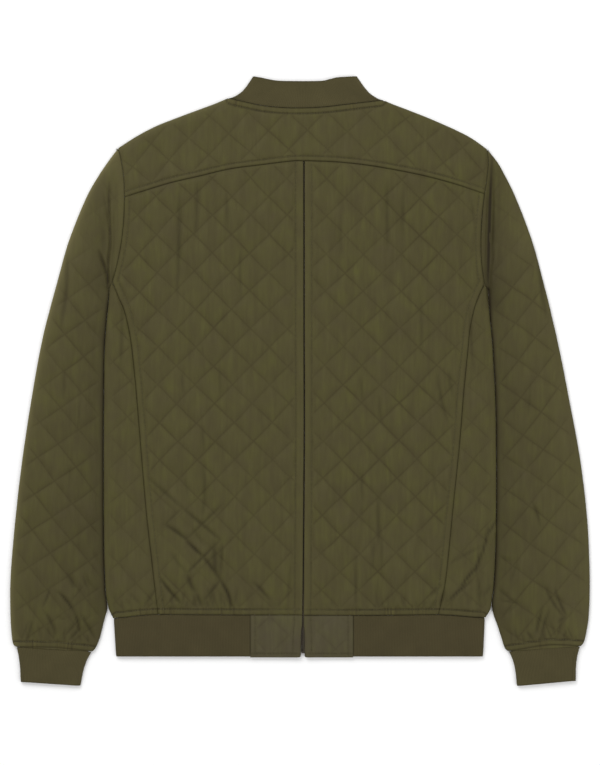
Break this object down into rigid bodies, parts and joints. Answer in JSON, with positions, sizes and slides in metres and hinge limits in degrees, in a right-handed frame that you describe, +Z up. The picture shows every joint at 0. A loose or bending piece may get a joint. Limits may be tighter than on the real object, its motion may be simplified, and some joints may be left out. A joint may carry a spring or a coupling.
{
  "type": "quilted jacket",
  "caption": "Quilted bomber jacket with rib collar, cuffs and hem and a back zip, lying flat on its front.",
  "frame": {"origin": "centre of the jacket's outline in plan, on the surface it lies on", "axes": "+Y towards the collar, +X towards the right as seen from above with the back uppermost, +Z up from the surface"},
  "size_m": [0.7248, 0.7626, 0.0078],
  "materials": {
    "shell": "matte olive woven polyester, quilted in diamonds, faint sheen",
    "rib": "matte olive brown rib knit",
    "tape": "matte dark olive woven zip tape",
    "chain": "satin dark brown zip teeth"
  },
  "bodies": {
    "root": {"back_yoke": "shell", "back_left": "shell", "back_right": "shell", "side_left": "shell", "side_right": "shell", "front_left": "shell", "front_right": "shell", "sleeve_left": "shell", "sleeve_right": "shell", "hem_tab_left": "shell", "hem_tab_right": "shell", "collar": "rib", "cuff_left": "rib", "cuff_right": "rib", "hem_rib_left": "rib", "hem_rib_right": "rib", "zip_back_tape_left": "tape", "zip_back_tape_right": "tape", "zip_front_tape_left": "tape", "zip_front_tape_right": "tape", "zip_back_chain": "chain", "zip_front_chain": "chain"}
  },
  "joints": []
}
